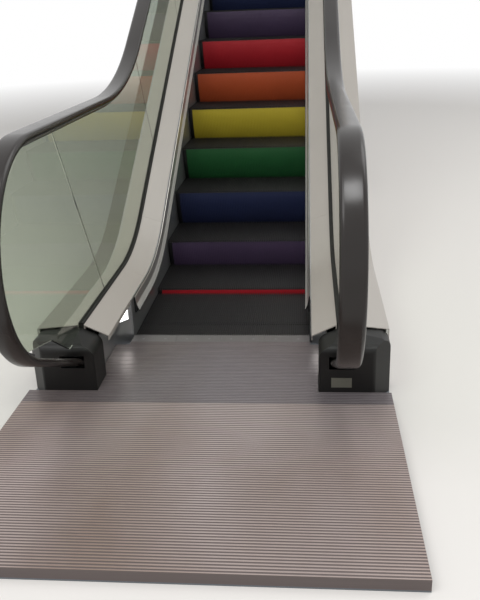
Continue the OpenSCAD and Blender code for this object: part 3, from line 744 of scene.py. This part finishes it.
stations = np.concatenate([np.linspace(HOLDER_ENDS, slope_start, LOWER_RINGS),
                           np.linspace(slope_end, bend_end, UPPER_RINGS), [line_length - HOLDER_ENDS]])


def beside_skirt(section):
    """Rings of a section that is given by the distance from the skirt face and the height over
    the lower edge of the brush holder."""
    return along_line(stations[:, None], SKIRT_FACE_X + section[:, 0], BRUSH_H + section[:, 1])


aluminium = painted_sheet("satin_aluminium", (198, 194, 190), rough=0.45, metallic=0.25)
band_steel = painted_sheet("satin_band", (206, 201, 196), rough=0.30, metallic=0.75)
pair("brush_profile", *bar(beside_skirt(PROFILE)), "brush", aluminium)
pair("brush_band", *bar(beside_skirt(BAND)), "brush", band_steel)
print("rings of each profile", len(stations))

# %% [markdown]
# Two socket screws hold each comb segment. A head could be two cylinders and a Boolean, but it is
# round all over, so it is a bar whose rings have a radius and a height: a low disc with a chamfer
# and a round recess.

# %% Comb screws
SCREWS = 8
SCREW_ROW_Y = -0.045
HEAD_SIDES = 12
HEAD = np.array([[0.0046, -0.0005], [0.0046, 0.0002], [0.0042, 0.0005], [0.0022, 0.0005],
                 [0.0020, -0.0006]])


def screws(places):
    """Screw heads on level faces. A ring is (radius cos(a), radius sin(a), height)."""
    a = np.arange(HEAD_SIDES) * 2 * math.pi / HEAD_SIDES
    rings = np.stack([HEAD[:, 0:1] * np.cos(a), HEAD[:, 0:1] * np.sin(a),
                      np.broadcast_to(HEAD[:, 1:2], (len(HEAD), len(a)))], -1)
    one, faces = bar(rings)
    faces = [[corner + len(one) * n for corner in face] for n in range(len(places)) for face in faces]
    return (places[:, None] + one).reshape(-1, 3), faces


screw_x = (np.arange(SCREWS) - (SCREWS - 1) / 2) * STEP_WIDTH / SCREWS
heads, head_faces = screws(np.array([(x, SCREW_ROW_Y, FLOOR_H) for x in screw_x]))
upper_heads = heads * (1, -1, 1) + (0, comb_y, RISE)
steel = brushed_steel("screw_steel", (170, 170, 172))
piece("screws_lower", heads, head_faces, "comb", steel)
piece("screws_upper", upper_heads, head_faces, "comb", steel, turned=True)
print("screws at each landing", SCREWS)

# %% [markdown]
# The right inlet carries a small bare plate on its front. It is a bar with four corners and only
# two rings, one sunk into the housing and one a little before it.

# %% Inlet plate
PLATE_X, PLATE_Z = (0.481, 0.558), (0.060, 0.100)
PLATE_BACK, PLATE_FRONT = -0.5355, -0.5374

corners = [(PLATE_X[0], PLATE_Z[0]), (PLATE_X[1], PLATE_Z[0]), (PLATE_X[1], PLATE_Z[1]),
           (PLATE_X[0], PLATE_Z[1])]
plate_rings = np.array([[(x, y, z) for x, z in corners] for y in (PLATE_BACK, PLATE_FRONT)])
piece("inlet_plate", *bar(plate_rings), "inlet", painted_sheet("bare_plate", (104, 103, 92), rough=0.5))
print("plate", round(PLATE_X[1] - PLATE_X[0], 3), "by", round(PLATE_Z[1] - PLATE_Z[0], 3), "m")

# %% [markdown]
# A pale floor carries the shadow of the machine. A small one would end in view and a plain large
# one would draw a horizon, so far from the machine it turns into white light. It does so only
# for rays that are seen or mirrored, so the light that it throws back stays the same.

# %% Floor
SEEN = ("Camera", "Glossy", "Transmission")
WHITE = (1.0, 1.0, 1.0, 1.0)
FLOOR_REACH = 60.0
FLOOR_DROP = 0.001
FADE_MIDDLE = (0, 4, 0)
FADE_NEAR, FADE_FAR = 5.0, 12.0


def fading_floor(name, rgb):
    """Pale paint that turns into white light between two distances from the middle."""
    finish = Finish(name, Roughness=0.75)
    finish.even("Base Color", rgb)
    away = finish.node("ShaderNodeVectorMath", {"operation": "DISTANCE"}, finish.place, FADE_MIDDLE,
                       output="Value")
    white = finish.node("ShaderNodeEmission", {}, WHITE, 1.0)
    fade = away.step(edge=FADE_NEAR, width=FADE_FAR - FADE_NEAR)
    finish.finish_with(fade * finish.rays(*SEEN), finish.surface, white)
    return finish.material


floor = bpy.data.objects.new("floor", bpy.data.meshes.new("floor"))
floor_corners = FLOOR_REACH * np.array([(-1, -1, 0), (1, -1, 0), (1, 1, 0), (-1, 1, 0)])
floor.data.from_pydata((floor_corners - (0, 0, FLOOR_DROP)).tolist(), [], [(0, 1, 2, 3)])
bpy.context.scene.collection.objects.link(floor)
floor.data.materials.append(fading_floor("floor_paint", (222, 218, 213)))
print("floor turns white from", FADE_NEAR, "to", FADE_FAR, "m")

# %% [markdown]
# Three square lamps give the soft shadows of a studio, where sun lamps would draw hard edges. The
# smallest one hangs before the right newel and makes the highlight on its belt. A lamp behind a
# pane would be seen as a bright patch, so rays that pass through glass miss the lamps.

# %% Lamps


def lamp(name, place, target, size, power):
    """A square lamp of some size in metres, looking at the target. It is not seen through glass."""
    made = bpy.data.objects.new(name, bpy.data.lights.new(name, "AREA"))
    made.data.shape, made.data.size, made.data.energy = "SQUARE", size, power
    made.visible_transmission = False
    made.location = place
    made.rotation_mode = "QUATERNION"
    made.rotation_quaternion = Vector(np.subtract(target, place)).to_track_quat("-Z", "Y")
    bpy.context.scene.collection.objects.link(made)


lamp("key", place=(-3.0, -4.0, 7.0), target=(0, 2, 1), size=5.0, power=260)
lamp("fill", place=(5.0, 3.0, 8.0), target=(0, 4, 2), size=6.0, power=260)
lamp("top", place=(0.75, -2.6, 5.0), target=(0.4, -0.8, 0), size=1.4, power=70)
print("lamps", len(bpy.data.lights))

# %% [markdown]
# The sky gives even light from all sides. It is white where it is seen or mirrored, so the
# background is white, and it lights the machine with less than that, so pale surfaces keep their
# colour. One Light Path mix does both, as on the floor.

# %% Sky
SKY_LIGHT = (0.9, 0.92, 0.95, 1.0)
SKY_STRENGTH = 0.6

world = bpy.data.worlds.new("sky")
bpy.context.scene.world = world
world.use_nodes = True
sky = Network(world.node_tree, "World Output")
even_light = sky.node("ShaderNodeBackground", {}, SKY_LIGHT, SKY_STRENGTH)
bright = sky.node("ShaderNodeBackground", {}, WHITE, 1.0)
sky.finish_with(sky.rays(*SEEN), even_light, bright)
print("sky strength", SKY_STRENGTH)
